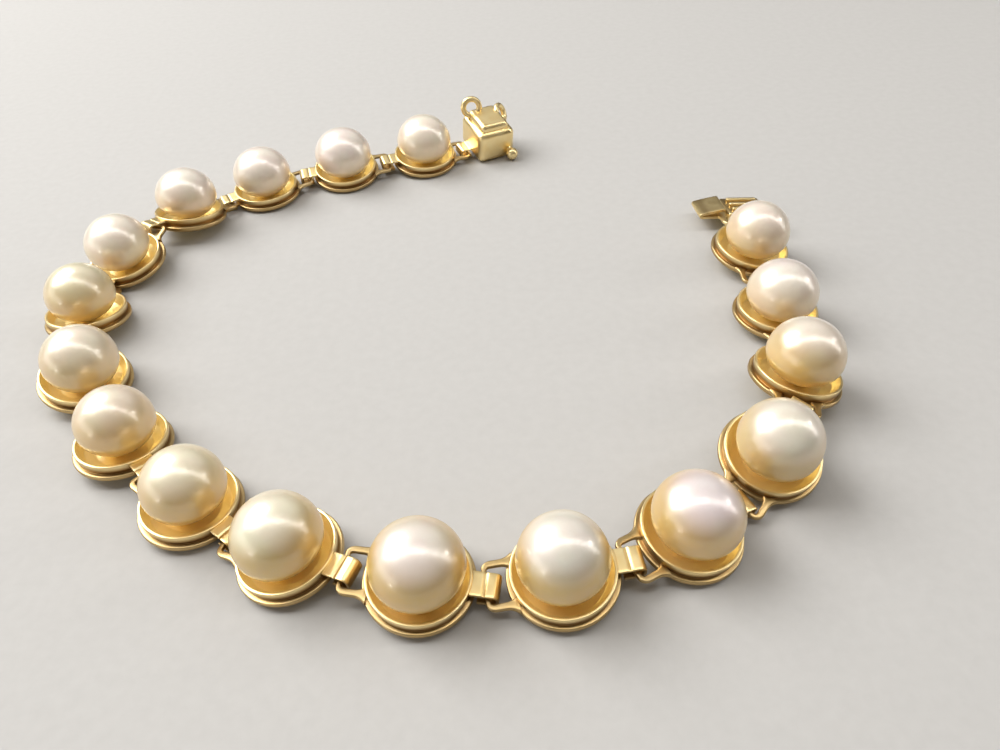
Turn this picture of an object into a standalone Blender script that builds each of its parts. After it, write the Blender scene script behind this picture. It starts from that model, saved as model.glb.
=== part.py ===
# A pearl bracelet lying open on a flat surface, in metres, +Z up.
#
# Seventeen button pearls sit on pegs in round gold cups. Each cup is one link: a flat
# loop at its near side and, at its far side, a strip folded round the next loop's
# crossbar. A clasp box ends the chain at one end and its spring tongue at the other.
#
# A link's own frame: the origin is the middle of the cup's flat underside, +Z is the
# cup's axis, +X points along the chain to the link's fold and -X to its loop.

import math

import bmesh
import bpy
from mathutils import Matrix, Vector

# Pearls
PEARL_RADIUS = 0.00375
PEARL_UNDERSIDE = 0.0029
PEARL_SEAT_GAP = 0.00022
PEARL_SIDES = 14
PEARL_RINGS = 4

# Cups
RIM_MARGIN = 0.0005
RIM_WALL = 0.00024
RIM_LIP = 0.00018
FLANGE_STEP = 0.0003
FLANGE_THICKNESS = 0.0004
BASE_INSET = 0.00035
BASE_STEP = 0.0003
NECK_DEPTH = 0.00015
NECK_BAND = 0.00035
FLOOR_THICKNESS = 0.00028
PEG_RADIUS = 0.00035
PEG_LENGTH = 0.0019
PEG_GAP = 0.00025
CUP_SIDES = 16
# The dish's inside, as shares of its run from peg to rim and of its rise
DISH_FLOOR_RUN = 0.60
DISH_TURN_RUN = 0.86
DISH_TURN_RISE = 0.32

# Loop and fold that join two links
CROSSBAR_WIDTH = 0.00042
CROSSBAR_THICKNESS = 0.0004
ARM_WIDTH = 0.0006
LOOP_CORNER = 0.00075
LOOP_REACH = 0.00159
STRIP_THICKNESS = 0.00026
STRIP_WIDTH = 0.0021
TAB_REACH = 0.00076
SIDE_PLAY = 0.0005
TURN_PLAY = 0.0007
LIFT_PLAY = 0.00027
FOLD_CORNER = 0.0003
RETURN_GAP = 0.00015
SOLDER_DEPTH = 0.0004
SOLDER_SHARE = 0.1
CORNER_STEPS = 3
INNER_CORNER_STEPS = 2

# Clasp box
BOX_LENGTH = 0.0056
BOX_WIDTH = 0.0066
BOX_HEIGHT = 0.0046
BOX_ROUNDING = 0.0009
SLOT_WALL = 0.00085
SLOT_HEIGHT = 0.0020
SLOT_DEPTH = 0.0043
CROWN_HEIGHT = 0.0009
CROWN_MARGIN = 0.0007
LUG_WIRE = 0.0004
LUG_RADIUS = 0.00115
BALL_RADIUS = 0.00085
BALL_STEM = 0.0004
STEM_SIDES = 8
BALL_RINGS = 6
RING_SIDES = 12
WIRE_SIDES = 6
ROUNDING_SEGMENTS = 2
CROWN_ROUNDING = 0.75
LUG_LIFT = 0.4
LUG_AXIS = (0.2, 1, 0.35)
CATCH_INSET = 0.3
CATCH_OFFSET = -0.3
CATCH_AXIS = (-0.7, 0.6, 0.5)

# Clasp tongue
TONGUE_CLEARANCE = 0.00035
TONGUE_LENGTH = 0.0036
LEAF_THICKNESS = 0.00035
THUMB_LENGTH = 0.0050
THUMB_WIDTH = 0.0048
THUMB_THICKNESS = 0.0012
RIDGE_HEIGHT = 0.0004
RIDGE_WIDTH = 0.0006
RIDGE_COUNT = 3
EYE_RADIUS = 0.0007
EYE_WIRE = 0.0003
EDGE_ROUNDING = 0.2
EYE_SEAT = 0.6
EYE_LIFT = 0.4
EYE_SPACING = 2.3
EYE_TILT = 0.25
# The spring's upper leaf, as shares of the tongue's length and of a leaf's thickness
LEAF_END = 0.12
LEAF_UNDERSIDE = 0.22
LEAF_SHOULDER = 0.25
LEAF_CROTCH = 3
LEAF_GAP = 0.2
BEND_STEPS = 4

# How each end of the clasp lies: degrees
BOX_HEADING = 204
BOX_LEAN = 9
TONGUE_TURN = 4
TONGUE_SLOPE = -7
TONGUE_LEAN = -3

# The route of the chain, chosen by hand along the photographed curve. One row a link:
# degrees turned to the left from the link before, degrees the pearl leans to the left,
# height of the joint after the link over a flat-lying one, as a share of the flange
# radius, then the pearl's width and its crown's height as shares of PEARL_RADIUS.
START_HEADING = 195
START_RISE = 0.09
ROUTE = [
    ("01", 0, 7, 0.15, 1.01, 0.95),
    ("02", -2, 8, 0.12, 1.03, 0.95),
    ("03", 14, 2, 0.02, 1.02, 0.94),
    ("04", 22, -5, 0.42, 1.01, 0.95),
    ("05", 23, -2, 0.00, 0.99, 0.95),
    ("06", 23, 1, 0.38, 0.97, 0.94),
    ("07", 23, 8, 0.00, 0.98, 0.95),
    ("08", 14, 5, 0.16, 0.96, 0.94),
    ("09", 9, 1, 0.04, 0.97, 0.94),
    ("10", 13, -6, 0.28, 1.00, 0.96),
    ("11", 17, -7, 0.13, 1.02, 0.89),
    ("12", 15, -7, 0.21, 0.98, 1.00),
    ("13", 22, -9, 0.06, 1.01, 0.90),
    ("14", 22, -12, 0.48, 0.98, 1.00),
    ("15", 22, -9, 0.00, 0.99, 0.95),
    ("16", 19, -5, 0.03, 0.99, 0.94),
    ("17", -4, -9, 0.26, 0.96, 0.95),
]
SETTLE_ROUNDS = 200

# Sizes that follow
RIM_RADIUS = PEARL_RADIUS + RIM_MARGIN
FLANGE_RADIUS = RIM_RADIUS + FLANGE_STEP
BASE_RADIUS = FLANGE_RADIUS - BASE_INSET
BAR_HEIGHT = STRIP_THICKNESS + LIFT_PLAY + CROSSBAR_THICKNESS / 2
FOLD_HEIGHT = 2 * BAR_HEIGHT
RIM_HEIGHT = FOLD_HEIGHT + RIM_LIP
DISH_RADIUS = RIM_RADIUS - RIM_WALL
FLANGE_TOP = BASE_STEP + FLANGE_THICKNESS
LOOP_WIDTH = STRIP_WIDTH + 2 * SIDE_PLAY + 2 * ARM_WIDTH
FOLD_LENGTH = TAB_REACH + CROSSBAR_WIDTH / 2 + TURN_PLAY
PITCH = 2 * FLANGE_RADIUS + TAB_REACH + LOOP_REACH
PEARL_BOTTOM = FLOOR_THICKNESS + PEARL_SEAT_GAP
SLOT_WIDTH = BOX_WIDTH - 2 * SLOT_WALL
TONGUE_WIDTH = SLOT_WIDTH - 2 * TONGUE_CLEARANCE
TONGUE_HEIGHT = SLOT_HEIGHT - 2 * TONGUE_CLEARANCE

GOLD_COLOUR = (0.83, 0.62, 0.33, 1)
GOLD_ROUGHNESS = 0.28
PEARL_COLOUR = (0.86, 0.80, 0.70, 1)
PEARL_ROUGHNESS = 0.22
SMOOTH_ANGLE = 35
MERGE_DISTANCE = 1e-7
SEAM_DISTANCE = 1e-6


def clear_scene():
    for obj in list(bpy.data.objects):
        bpy.data.objects.remove(obj, do_unlink=True)


def make_material(name, colour, metallic, roughness):
    material = bpy.data.materials.new(name)
    material.use_nodes = True
    shader = material.node_tree.nodes["Principled BSDF"]
    shader.inputs["Base Color"].default_value = colour
    shader.inputs["Metallic"].default_value = metallic
    shader.inputs["Roughness"].default_value = roughness
    return material


def link_object(name, data, collection):
    obj = bpy.data.objects.new(name, data)
    collection.objects.link(obj)
    return obj


def evaluated_mesh(obj, name):
    """The object's shape with its modifiers, as a new mesh in the object's own frame."""
    bpy.context.view_layer.update()
    graph = bpy.context.evaluated_depsgraph_get()
    mesh = bpy.data.meshes.new_from_object(obj.evaluated_get(graph), depsgraph=graph)
    mesh.name = name
    shape = bmesh.new()
    shape.from_mesh(mesh)
    bmesh.ops.remove_doubles(shape, verts=shape.verts, dist=MERGE_DISTANCE)
    shape.to_mesh(mesh)
    shape.free()
    return mesh


def turned_mesh(name, profile, sides, guides):
    """A solid of revolution about Z from (radius, height) points, top to bottom outside."""
    mesh = bpy.data.meshes.new(name)
    shape = bmesh.new()
    verts = [shape.verts.new((radius, 0, height)) for radius, height in profile]
    for first, second in zip(verts, verts[1:]):
        shape.edges.new((first, second))
    shape.to_mesh(mesh)
    shape.free()
    obj = link_object(name, mesh, guides)
    screw = obj.modifiers.new("Screw", "SCREW")
    screw.steps = sides
    screw.render_steps = sides
    screw.use_merge_vertices = True
    screw.merge_threshold = SEAM_DISTANCE
    turned = evaluated_mesh(obj, name)
    bpy.data.objects.remove(obj, do_unlink=True)
    return turned


def outline_mesh(name, outline, half_depth, guides):
    """A flat outline in XY, extruded by half_depth to each side of z = 0."""
    curve = bpy.data.curves.new(name, "CURVE")
    curve.dimensions = "2D"
    curve.fill_mode = "BOTH"
    curve.extrude = half_depth
    spline = curve.splines.new("POLY")
    spline.points.add(len(outline) - 1)
    for point, (x, y) in zip(spline.points, outline):
        point.co = (x, y, 0, 1)
    spline.use_cyclic_u = True
    obj = link_object(name, curve, guides)
    mesh = evaluated_mesh(obj, name)
    bpy.data.objects.remove(obj, do_unlink=True)
    return mesh


def shape_mesh(name, shape):
    mesh = bpy.data.meshes.new(name)
    shape.to_mesh(mesh)
    shape.free()
    return mesh


def arc(centre_x, centre_y, radius, start, end, steps):
    """Points on an arc from start to end, in degrees, ends included."""
    points = []
    for step in range(steps + 1):
        angle = math.radians(start + (end - start) * step / steps)
        points.append((centre_x + radius * math.cos(angle), centre_y + radius * math.sin(angle)))
    return points


def box_mesh(name, low, high, rounding, segments):
    """A box between two corners, its edges rounded."""
    shape = bmesh.new()
    bmesh.ops.create_cube(shape, size=1)
    low = Vector(low)
    high = Vector(high)
    bmesh.ops.scale(shape, vec=high - low, verts=shape.verts)
    bmesh.ops.translate(shape, vec=(low + high) / 2, verts=shape.verts)
    if rounding > 0:
        bmesh.ops.bevel(
            shape,
            geom=list(shape.edges),
            offset=rounding,
            segments=segments,
            profile=0.5,
            affect="EDGES",
            clamp_overlap=True,
        )
    return shape_mesh(name, shape)


def ball_mesh(name, centre, radius, rings):
    shape = bmesh.new()
    bmesh.ops.create_uvsphere(shape, u_segments=2 * rings, v_segments=rings, radius=radius)
    bmesh.ops.translate(shape, vec=centre, verts=shape.verts)
    return shape_mesh(name, shape)


def stem_mesh(name, start, end, radius, sides):
    """A round rod from start to end."""
    start = Vector(start)
    along = Vector(end) - start
    shape = bmesh.new()
    bmesh.ops.create_cone(
        shape, cap_ends=True, segments=sides, radius1=radius, radius2=radius, depth=along.length
    )
    turn = along.to_track_quat("Z", "Y").to_matrix().to_4x4()
    bmesh.ops.transform(shape, matrix=Matrix.Translation(start + along / 2) @ turn, verts=shape.verts)
    return shape_mesh(name, shape)


def ring_mesh(name, centre, axis, radius, wire, guides):
    """A round ring of wire about an axis."""
    profile = arc(radius, 0, wire, 90, -270, WIRE_SIDES)
    mesh = bpy.data.meshes.new(name)
    shape = bmesh.new()
    verts = [shape.verts.new((across, 0, height)) for across, height in profile[:-1]]
    for first, second in zip(verts, verts[1:] + verts[:1]):
        shape.edges.new((first, second))
    shape.to_mesh(mesh)
    shape.free()
    obj = link_object(name, mesh, guides)
    screw = obj.modifiers.new("Screw", "SCREW")
    screw.steps = RING_SIDES
    screw.render_steps = RING_SIDES
    screw.use_merge_vertices = True
    screw.merge_threshold = SEAM_DISTANCE
    ring = evaluated_mesh(obj, name)
    bpy.data.objects.remove(obj, do_unlink=True)
    turn = Vector(axis).normalized().to_track_quat("Z", "Y").to_matrix().to_4x4()
    ring.transform(Matrix.Translation(Vector(centre)) @ turn)
    return ring


def combine(name, meshes, guides, operations=None):
    """One mesh from several, each joined to or cut from the first by a Boolean."""
    base = link_object(name, meshes[0], guides)
    helpers = []
    for index, mesh in enumerate(meshes[1:]):
        helper = link_object(f"{name}_{index}", mesh, guides)
        helper.hide_render = True
        helper.display_type = "WIRE"
        boolean = base.modifiers.new(f"Boolean {index}", "BOOLEAN")
        boolean.object = helper
        boolean.operation = operations[index] if operations else "UNION"
        boolean.solver = "EXACT"
        helpers.append(helper)
    result = evaluated_mesh(base, name)
    for helper in helpers:
        bpy.data.objects.remove(helper, do_unlink=True)
    bpy.data.objects.remove(base, do_unlink=True)
    return result


def cup_profile():
    """From the peg's tip out over the dish and the rim, down the side and in underneath."""
    wall_run = DISH_RADIUS - PEG_RADIUS
    wall_rise = RIM_HEIGHT - FLOOR_THICKNESS
    return [
        (0, FLOOR_THICKNESS + PEG_LENGTH),
        (PEG_RADIUS, FLOOR_THICKNESS + PEG_LENGTH),
        (PEG_RADIUS, FLOOR_THICKNESS),
        (PEG_RADIUS + DISH_FLOOR_RUN * wall_run, FLOOR_THICKNESS),
        (PEG_RADIUS + DISH_TURN_RUN * wall_run, FLOOR_THICKNESS + DISH_TURN_RISE * wall_rise),
        (DISH_RADIUS, RIM_HEIGHT),
        (RIM_RADIUS, RIM_HEIGHT),
        (RIM_RADIUS, FLANGE_TOP + NECK_BAND),
        (RIM_RADIUS - NECK_DEPTH, FLANGE_TOP),
        (FLANGE_RADIUS, FLANGE_TOP),
        (FLANGE_RADIUS, BASE_STEP),
        (BASE_RADIUS, 0),
        (0, 0),
    ]


def loop_mesh(edge, guides):
    """The flat loop on the -X side of a body whose edge is at x = -edge."""
    bar_outside = -(edge + LOOP_REACH + CROSSBAR_WIDTH / 2)
    bar_inside = bar_outside + CROSSBAR_WIDTH
    half = LOOP_WIDTH / 2
    inner = half - ARM_WIDTH
    foot = -(edge - FLANGE_STEP - SOLDER_DEPTH)
    inner_corner = LOOP_CORNER / 2
    left = arc(bar_outside + LOOP_CORNER, half - LOOP_CORNER, LOOP_CORNER, 180, 90, CORNER_STEPS)
    right = arc(bar_outside + LOOP_CORNER, LOOP_CORNER - half, LOOP_CORNER, 270, 180, CORNER_STEPS)
    inside_x = bar_inside + inner_corner
    inside_y = inner - inner_corner
    inside_right = arc(inside_x, -inside_y, inner_corner, 270, 180, INNER_CORNER_STEPS)
    inside_left = arc(inside_x, inside_y, inner_corner, 180, 90, INNER_CORNER_STEPS)
    outline = left + [(foot, half), (foot, inner)]
    outline += list(reversed(inside_left)) + list(reversed(inside_right))
    outline += [(foot, -inner), (foot, -half)] + right
    mesh = outline_mesh("loop", outline, CROSSBAR_THICKNESS / 2, guides)
    mesh.transform(Matrix.Translation((0, 0, BAR_HEIGHT)))
    return mesh


def fold_mesh(edge, root, guides):
    """The folded strip on the +X side of a body whose edge is at x = edge."""
    end = edge + FOLD_LENGTH
    low = STRIP_THICKNESS
    high = FOLD_HEIGHT - STRIP_THICKNESS
    outer_corner = FOLD_CORNER + STRIP_THICKNESS
    turn_x = end - FOLD_CORNER
    upper_z = high - FOLD_CORNER
    lower_z = low + FOLD_CORNER
    upper = arc(turn_x, upper_z, outer_corner, 90, 0, CORNER_STEPS)
    lower = arc(turn_x, lower_z, outer_corner, 0, -90, CORNER_STEPS)
    inside_lower = arc(turn_x, lower_z, FOLD_CORNER, -90, 0, INNER_CORNER_STEPS)
    inside_upper = arc(turn_x, upper_z, FOLD_CORNER, 0, 90, INNER_CORNER_STEPS)
    outline = [(root, FOLD_HEIGHT)] + upper + lower
    outline += [(edge + RETURN_GAP, 0), (edge + RETURN_GAP, low)]
    outline += inside_lower + inside_upper + [(root, high)]
    mesh = outline_mesh("fold", outline, STRIP_WIDTH / 2, guides)
    mesh.transform(Matrix.Rotation(math.radians(90), 4, "X"))
    return mesh


def link_mesh(guides):
    cup = turned_mesh("cup", cup_profile(), CUP_SIDES, guides)
    loop = loop_mesh(FLANGE_RADIUS, guides)
    fold = fold_mesh(FLANGE_RADIUS, RIM_RADIUS - RIM_WALL - SOLDER_SHARE * RIM_WALL, guides)
    return combine("link", [cup, loop, fold], guides)


def pearl_mesh(name, width_share, crown_share, guides):
    """A button pearl on its own frame's origin at the cup's, drilled from below."""
    radius = PEARL_RADIUS * width_share
    crown = PEARL_RADIUS * crown_share
    middle = PEARL_BOTTOM + PEARL_UNDERSIDE
    hole = PEG_RADIUS + PEG_GAP
    hole_top = FLOOR_THICKNESS + PEG_LENGTH + PEG_GAP
    profile = []
    for step in range(PEARL_RINGS + 1):
        angle = math.radians(90 * step / PEARL_RINGS)
        profile.append((radius * math.sin(angle), middle + crown * math.cos(angle)))
    for step in range(1, PEARL_RINGS):
        angle = math.radians(90 * step / PEARL_RINGS)
        profile.append((radius * math.cos(angle), middle - PEARL_UNDERSIDE * math.sin(angle)))
    profile += [(hole, PEARL_BOTTOM), (hole, hole_top), (0, hole_top)]
    return turned_mesh(name, profile, PEARL_SIDES, guides)


def clasp_box_mesh(guides):
    """The box end of the clasp, its slot open on the -X side, its origin under its middle."""
    half_length = BOX_LENGTH / 2
    half_width = BOX_WIDTH / 2
    slot_low = (BOX_HEIGHT - SLOT_HEIGHT) / 2
    body = box_mesh(
        "body",
        (-half_length, -half_width, 0),
        (half_length, half_width, BOX_HEIGHT),
        BOX_ROUNDING,
        ROUNDING_SEGMENTS,
    )
    crown = box_mesh(
        "crown",
        (-half_length + CROWN_MARGIN, -half_width + CROWN_MARGIN, BOX_HEIGHT - BOX_ROUNDING),
        (half_length - CROWN_MARGIN, half_width - CROWN_MARGIN, BOX_HEIGHT + CROWN_HEIGHT),
        CROWN_ROUNDING * CROWN_HEIGHT,
        ROUNDING_SEGMENTS,
    )
    fold = fold_mesh(half_length, half_length - SOLDER_DEPTH, guides)
    top = BOX_HEIGHT + CROWN_HEIGHT
    lug = ring_mesh(
        "lug",
        (half_length - LUG_RADIUS, -half_width + LUG_RADIUS, top + LUG_LIFT * LUG_RADIUS),
        LUG_AXIS,
        LUG_RADIUS,
        LUG_WIRE,
        guides,
    )
    catch = ring_mesh(
        "catch",
        (-half_length + CATCH_INSET * LUG_RADIUS, CATCH_OFFSET * half_width, BOX_HEIGHT),
        CATCH_AXIS,
        LUG_RADIUS,
        LUG_WIRE,
        guides,
    )
    ball_x = -half_length + BALL_RADIUS
    ball_z = BALL_RADIUS + BASE_STEP
    ball_spot = (ball_x, half_width + BALL_STEM + BALL_RADIUS / 2, ball_z)
    stem_foot = (ball_x, half_width - SLOT_WALL / 2, ball_z + BALL_STEM)
    stem = stem_mesh("stem", stem_foot, ball_spot, BALL_STEM, STEM_SIDES)
    ball = ball_mesh("ball", ball_spot, BALL_RADIUS, BALL_RINGS)
    slot = box_mesh(
        "slot",
        (-half_length - SLOT_DEPTH, -SLOT_WIDTH / 2, slot_low),
        (-half_length + SLOT_DEPTH, SLOT_WIDTH / 2, slot_low + SLOT_HEIGHT),
        0,
        1,
    )
    joined = combine("clasp_box", [body, crown, fold, lug, catch, stem, ball], guides)
    return combine("clasp_box", [joined, slot], guides, ["DIFFERENCE"])


def clasp_tongue_mesh(guides):
    """The tongue end. Its crossbar is at x = 0 and its spring points to +Y, to the box."""
    plate_start = LOOP_REACH
    plate_middle = plate_start + THUMB_WIDTH / 2
    right = -THUMB_LENGTH + LOOP_WIDTH / 4
    left = right + THUMB_LENGTH
    low = BAR_HEIGHT - THUMB_THICKNESS / 2
    high = low + THUMB_THICKNESS
    plate = box_mesh(
        "plate",
        (plate_start, right, low),
        (plate_start + THUMB_WIDTH, left, high),
        THUMB_THICKNESS * EDGE_ROUNDING,
        ROUNDING_SEGMENTS,
    )
    # The loop is drawn for a body whose edge is at x = 0, then moved to the crossbar.
    loop = loop_mesh(FLANGE_STEP + SOLDER_DEPTH, guides)
    loop.transform(Matrix.Translation((FLANGE_STEP + SOLDER_DEPTH + LOOP_REACH, 0, 0)))
    pieces = [plate, loop]
    spread = (THUMB_WIDTH - RIDGE_WIDTH) / RIDGE_COUNT
    for index in range(RIDGE_COUNT):
        ridge_x = plate_middle + spread * (index - (RIDGE_COUNT - 1) / 2)
        pieces.append(
            box_mesh(
                "ridge",
                (ridge_x - RIDGE_WIDTH / 2, right + RIDGE_WIDTH, high - RIDGE_HEIGHT),
                (ridge_x + RIDGE_WIDTH / 2, left - RIDGE_WIDTH, high + RIDGE_HEIGHT),
                RIDGE_WIDTH * EDGE_ROUNDING,
                1,
            )
        )
    # The spring is one strip, folded at its tip: its lower leaf is soldered to the plate.
    root = left - SOLDER_DEPTH
    tip = left + TONGUE_LENGTH
    half_tip = LEAF_THICKNESS
    crotch = tip - LEAF_CROTCH * half_tip
    bend = arc(tip - half_tip, half_tip, half_tip, -90, 90, BEND_STEPS)
    rise = TONGUE_HEIGHT
    outline = [(root, 0)] + bend
    outline += [
        (left + LEAF_SHOULDER * TONGUE_LENGTH, rise),
        (left + LEAF_END * TONGUE_LENGTH, rise),
        (left + LEAF_END * TONGUE_LENGTH, rise - LEAF_THICKNESS),
        (left + LEAF_UNDERSIDE * TONGUE_LENGTH, rise - LEAF_THICKNESS),
        (crotch, LEAF_THICKNESS + LEAF_GAP * LEAF_THICKNESS),
        (crotch, LEAF_THICKNESS),
        (root, LEAF_THICKNESS),
    ]
    spring = outline_mesh("spring", outline, TONGUE_WIDTH / 2, guides)
    turn = Matrix.Rotation(math.radians(90), 4, "Z") @ Matrix.Rotation(math.radians(90), 4, "X")
    spring.transform(Matrix.Translation((plate_middle, 0, low + LEAF_THICKNESS)) @ turn)
    pieces.append(spring)
    for index in range(2):
        eye_y = right + index * EYE_SPACING * EYE_RADIUS
        pieces.append(
            ring_mesh(
                "eye",
                (plate_start - EYE_SEAT * EYE_RADIUS, eye_y, BAR_HEIGHT + EYE_LIFT * EYE_RADIUS),
                (0.2, EYE_TILT * (1 - 2 * index), 1),
                EYE_RADIUS,
                EYE_WIRE,
                guides,
            )
        )
    return combine("clasp_tongue", pieces, guides)


def direction(heading):
    return Vector((math.cos(math.radians(heading)), math.sin(math.radians(heading)), 0))


def frame_between(start, end, lean, reach):
    """A link's frame from its crossbar's middle to its fold's, leaning to the left."""
    along = (end - start).normalized()
    across = Vector((-along.y, along.x, 0)).normalized()
    upright = along.cross(across)
    angle = math.radians(lean)
    up = upright * math.cos(angle) + across * math.sin(angle)
    across = up.cross(along)
    origin = start + along * reach - up * BAR_HEIGHT
    return Matrix(
        (
            (along.x, across.x, up.x, origin.x),
            (along.y, across.y, up.y, origin.y),
            (along.z, across.z, up.z, origin.z),
            (0, 0, 0, 1),
        )
    )


def joint_points(heights):
    """The middles of the crossbars, from link 01's to the one after the last link."""
    points = [Vector((0, 0, heights[0]))]
    heading = START_HEADING
    for index, row in enumerate(ROUTE):
        heading += row[1]
        climb = heights[index + 1] - heights[index]
        run = math.sqrt(PITCH * PITCH - climb * climb)
        points.append(points[-1] + direction(heading) * run + Vector((0, 0, climb)))
    return points


def chain_frames(heights):
    points = joint_points(heights)
    reach = FLANGE_RADIUS + LOOP_REACH
    return [
        frame_between(points[index], points[index + 1], row[2], reach)
        for index, row in enumerate(ROUTE)
    ]


def box_frame(joint):
    """The clasp box, whose fold holds the first link's crossbar."""
    reach = BOX_LENGTH / 2 + TAB_REACH
    start = joint - direction(BOX_HEADING) * reach
    return frame_between(start, joint, BOX_LEAN, 0)


def tongue_frame(joint):
    """The tongue, whose crossbar lies in the last link's fold."""
    heading = START_HEADING + sum(row[1] for row in ROUTE) + TONGUE_TURN
    slope = Vector((0, 0, math.tan(math.radians(TONGUE_SLOPE))))
    return frame_between(joint, joint + direction(heading) + slope, TONGUE_LEAN, 0)


def lowest(mesh, frame):
    return min((frame @ vert.co).z for vert in mesh.vertices)


def settled_heights(link, box, tongue):
    """The joints' heights, raised until nothing is below the surface."""
    rises = [START_RISE] + [row[3] for row in ROUTE]
    heights = [BAR_HEIGHT + rise * FLANGE_RADIUS for rise in rises]
    for _ in range(SETTLE_ROUNDS):
        for index, frame in enumerate(chain_frames(heights)):
            sunk = min(0, lowest(link, frame))
            heights[index] -= sunk
            heights[index + 1] -= sunk
        points = joint_points(heights)
        heights[0] -= min(0, lowest(box, box_frame(points[0])))
        heights[-1] -= min(0, lowest(tongue, tongue_frame(points[-1])))
    return heights


def place(name, mesh, frame, material, collection, parent):
    mesh.materials.clear()
    mesh.materials.append(material)
    mesh.shade_smooth()
    mesh.set_sharp_from_angle(angle=math.radians(SMOOTH_ANGLE))
    obj = link_object(name, mesh, collection)
    obj.parent = parent
    obj.matrix_local = frame
    return obj


def centre_on_origin(root, objects):
    """Moves the whole so that it stands on z = 0 with its box's middle over the origin."""
    bpy.context.view_layer.update()
    points = [obj.matrix_world @ vert.co for obj in objects for vert in obj.data.vertices]
    low = [min(point[axis] for point in points) for axis in range(3)]
    high = [max(point[axis] for point in points) for axis in range(3)]
    root.location = (-(low[0] + high[0]) / 2, -(low[1] + high[1]) / 2, -low[2])


def main():
    clear_scene()
    bracelet = bpy.data.collections.new("pearl_bracelet")
    guides = bpy.data.collections.new("guides")
    bpy.context.scene.collection.children.link(bracelet)
    bpy.context.scene.collection.children.link(guides)
    gold = make_material("gold", GOLD_COLOUR, 1, GOLD_ROUGHNESS)
    nacre = make_material("nacre", PEARL_COLOUR, 0, PEARL_ROUGHNESS)
    root = link_object("bracelet", None, bracelet)

    link = link_mesh(guides)
    box = clasp_box_mesh(guides)
    tongue = clasp_tongue_mesh(guides)
    heights = settled_heights(link, box, tongue)
    points = joint_points(heights)

    objects = [place("clasp_box", box, box_frame(points[0]), gold, bracelet, root)]
    for row, frame in zip(ROUTE, chain_frames(heights)):
        number = row[0]
        objects.append(place(f"link_{number}", link.copy(), frame, gold, bracelet, root))
        pearl = pearl_mesh(f"pearl_{number}", row[4], row[5], guides)
        objects.append(place(f"pearl_{number}", pearl, frame, nacre, bracelet, root))
    objects.append(place("clasp_tongue", tongue, tongue_frame(points[-1]), gold, bracelet, root))
    centre_on_origin(root, objects)


main()
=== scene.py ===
import math

import bmesh
import bpy
import numpy as np
from mathutils import Matrix, Vector, noise


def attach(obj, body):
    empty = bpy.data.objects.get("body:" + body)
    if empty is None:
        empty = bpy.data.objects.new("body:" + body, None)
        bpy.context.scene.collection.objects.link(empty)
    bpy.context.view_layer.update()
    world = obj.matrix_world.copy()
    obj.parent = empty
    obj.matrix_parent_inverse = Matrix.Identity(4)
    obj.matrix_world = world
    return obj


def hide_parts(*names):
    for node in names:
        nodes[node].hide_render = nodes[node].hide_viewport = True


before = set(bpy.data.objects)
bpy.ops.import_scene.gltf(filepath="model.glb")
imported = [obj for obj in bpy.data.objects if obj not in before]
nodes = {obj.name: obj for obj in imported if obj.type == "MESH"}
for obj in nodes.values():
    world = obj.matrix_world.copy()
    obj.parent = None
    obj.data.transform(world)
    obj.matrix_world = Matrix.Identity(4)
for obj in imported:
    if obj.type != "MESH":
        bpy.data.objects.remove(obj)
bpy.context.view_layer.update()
mm = 0.001
linkNumbers = [f"{number:02d}" for number in range(1, 18)]
print("frame loaded,", len(nodes), "nodes")


# Camera and light

cameraSpot = {
    "place": (0.007487, -0.072522, 0.0558),  # the photo's eye point, from the fitted pearls
    "lookDown": 42.5,
    "roll": -3.27,
    "lens": 28.8,
    "sensor": 36.0,
}


def makeCamera():
    data = bpy.data.cameras.new("camera")
    data.lens = cameraSpot["lens"]
    data.sensor_width = cameraSpot["sensor"]
    data.clip_start = 0.005
    data.clip_end = 20
    camera = bpy.data.objects.new("camera", data)
    tilt = Matrix.Rotation(math.radians(90 - cameraSpot["lookDown"]), 4, "X")
    roll = Matrix.Rotation(math.radians(cameraSpot["roll"]), 4, "Z")
    camera.matrix_world = Matrix.Translation(cameraSpot["place"]) @ tilt @ roll
    bpy.context.scene.collection.objects.link(camera)
    bpy.context.scene.camera = camera


lights = {
    "window": {  # the broad highlight at each pearl's upper left
        "spot": (-0.37, 0.18, 0.42), "width": 0.50, "height": 0.38,
        "power": 4.5, "colour": (1.0, 0.985, 0.96),
    },
    "strip": {  # the narrow one at its right
        "spot": (0.48, 0.01, 0.37), "width": 0.08, "height": 0.86,
        "power": 1.05, "colour": (1.0, 0.97, 0.93),
    },
    "bridge": {  # overhead, between those two
        "spot": (-0.07, 0.0, 0.64), "width": 0.13, "height": 0.62,
        "power": 1.1, "colour": (1.0, 0.98, 0.95),
    },
    "back": {  # a pale card behind, for the rims
        "spot": (0.0, 0.80, 0.72), "width": 1.8, "height": 0.6,
        "power": 1.5, "colour": (1.0, 0.98, 0.95),
    },
    "front": {  # a weak warm card for the cups' near walls
        "spot": (0.0, -0.80, 0.55), "width": 1.8, "height": 0.8,
        "power": 0.7, "colour": (1.0, 0.95, 0.88),
    },
    "side": {  # a low card for the folds and the box
        "spot": (-0.72, -0.26, 0.17), "width": 0.90, "height": 0.28,
        "power": 1.1, "colour": (1.0, 0.98, 0.95),
    },
    "lamp": {  # the small glint at a pearl's lower left
        "spot": (-0.45, -0.42, 0.05), "width": 0.05, "height": 0.04,
        "power": 0.08, "colour": (1.0, 0.95, 0.88),
    },
    "spark": {  # the small glint at its right edge
        "spot": (0.52, 0.10, 0.24), "width": 0.04, "height": 0.04,
        "power": 0.16, "colour": (1.0, 0.97, 0.93),
    },
}


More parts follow.
